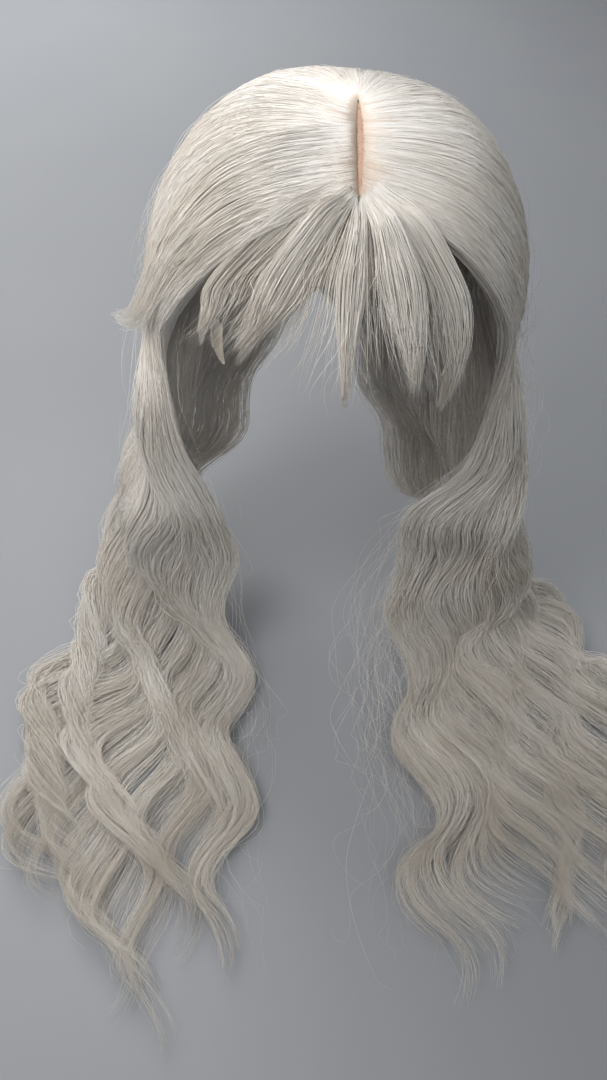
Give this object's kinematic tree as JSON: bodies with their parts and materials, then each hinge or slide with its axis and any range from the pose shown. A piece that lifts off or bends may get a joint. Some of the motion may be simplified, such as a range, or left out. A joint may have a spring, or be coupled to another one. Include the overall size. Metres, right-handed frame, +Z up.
{
  "type": "costume wig",
  "caption": "Long pale ivory costume wig with a centre parting, a wispy split fringe and loose waves that lie on the table in front",
  "frame": {"origin": "inside apex of the cap, where the crown of the head rests", "axes": "+Z up along the head, -Y towards the face, +X to the wearer's left"},
  "size_m": [0.4753, 0.4935, 0.4042],
  "materials": {
    "crown_hair": "smooth synthetic hair, warm ivory, silky sheen",
    "fringe_hair": "thin see-through locks of ivory hair",
    "long_hair": "loose waves of ivory to beige hair, dry at the ends",
    "cap_net": "open elastic net",
    "lace_band": "soft woven lace band",
    "elastic": "ribbed elastic ribbon",
    "weft_thread": "folded and machine-stitched weft",
    "skin_strip": "thin matt skin-coloured film",
    "moulded_clip": "small moulded plastic"
  },
  "bodies": {
    "cap": {"cap_net": "cap_net", "parting_strip": "skin_strip", "front_band": "lace_band", "nape_band": "elastic", "centre_ribbon": "elastic", "left_side_ribbon": "elastic", "right_side_ribbon": "elastic", "weft_row_1": "weft_thread", "weft_row_2": "weft_thread", "weft_row_3": "weft_thread", "weft_row_4": "weft_thread", "weft_row_5": "weft_thread", "weft_row_6": "weft_thread", "weft_row_7": "weft_thread", "weft_row_8": "weft_thread", "left_adjuster_loops": "moulded_clip", "right_adjuster_loops": "moulded_clip", "crown_hair_front_left": "crown_hair", "crown_hair_front_right": "crown_hair", "crown_hair_back_left": "crown_hair", "crown_hair_back_right": "crown_hair", "left_side_hair": "long_hair", "right_side_hair": "long_hair", "left_shoulder_hair": "long_hair", "right_shoulder_hair": "long_hair", "left_back_hair": "long_hair", "right_back_hair": "long_hair"},
    "left_tab": {"left_ear_tab": "lace_band", "left_tab_stay": "moulded_clip"},
    "right_tab": {"right_ear_tab": "lace_band", "right_tab_stay": "moulded_clip"},
    "left_adjuster": {"left_adjuster_strap": "elastic", "left_adjuster_hook": "moulded_clip"},
    "right_adjuster": {"right_adjuster_strap": "elastic", "right_adjuster_hook": "moulded_clip"},
    "fringe_left": {"fringe_lock_far_left": "fringe_hair", "fringe_lock_left": "fringe_hair"},
    "fringe_centre": {"fringe_lock_centre": "fringe_hair"},
    "fringe_right": {"fringe_lock_right": "fringe_hair", "fringe_lock_far_right": "fringe_hair"},
    "left_lengths": {"left_length_outer": "long_hair", "left_length_middle": "long_hair", "left_length_inner": "long_hair"},
    "right_lengths": {"right_length_inner": "long_hair", "right_length_middle": "long_hair", "right_length_outer": "long_hair", "right_length_far": "long_hair"}
  },
  "joints": [
    {"name": "fringe_left_lift", "type": "hinge", "parent": "cap", "child": "fringe_left", "pos_m": [-0.05, -0.0865, -0.029], "axis": [-1, 0, 0], "range_deg": [0, 40]},
    {"name": "fringe_centre_lift", "type": "hinge", "parent": "cap", "child": "fringe_centre", "pos_m": [-0.003, -0.0905, -0.029], "axis": [-1, 0, 0], "range_deg": [0, 45]},
    {"name": "fringe_right_lift", "type": "hinge", "parent": "cap", "child": "fringe_right", "pos_m": [0.035, -0.0865, -0.029], "axis": [-1, 0, 0], "range_deg": [0, 40]},
    {"name": "left_lengths_lift", "type": "hinge", "parent": "cap", "child": "left_lengths", "pos_m": [-0.105, -0.066, -0.386], "axis": [-1, 0, 0], "range_deg": [0, 35]},
    {"name": "right_lengths_lift", "type": "hinge", "parent": "cap", "child": "right_lengths", "pos_m": [0.15, -0.062, -0.386], "axis": [-1, 0, 0], "range_deg": [0, 35]},
    {"name": "left_tab_flare", "type": "hinge", "parent": "cap", "child": "left_tab", "pos_m": [-0.0746, -0.038, -0.1036], "axis": [-0.324, 0.9461, 0], "range_deg": [0, 15]},
    {"name": "right_tab_flare", "type": "hinge", "parent": "cap", "child": "right_tab", "pos_m": [0.0746, -0.038, -0.1036], "axis": [-0.324, -0.9461, 0], "range_deg": [0, 15]},
    {"name": "left_adjuster_slide", "type": "hinge", "parent": "cap", "child": "left_adjuster", "pos_m": [0, 0.0334, -0.1495], "axis": [0, 0, -1], "range_deg": [0, 14]},
    {"name": "right_adjuster_slide", "type": "hinge", "parent": "cap", "child": "right_adjuster", "pos_m": [0, 0.0334, -0.1495], "axis": [0, 0, 1], "range_deg": [0, 14]}
  ]
}
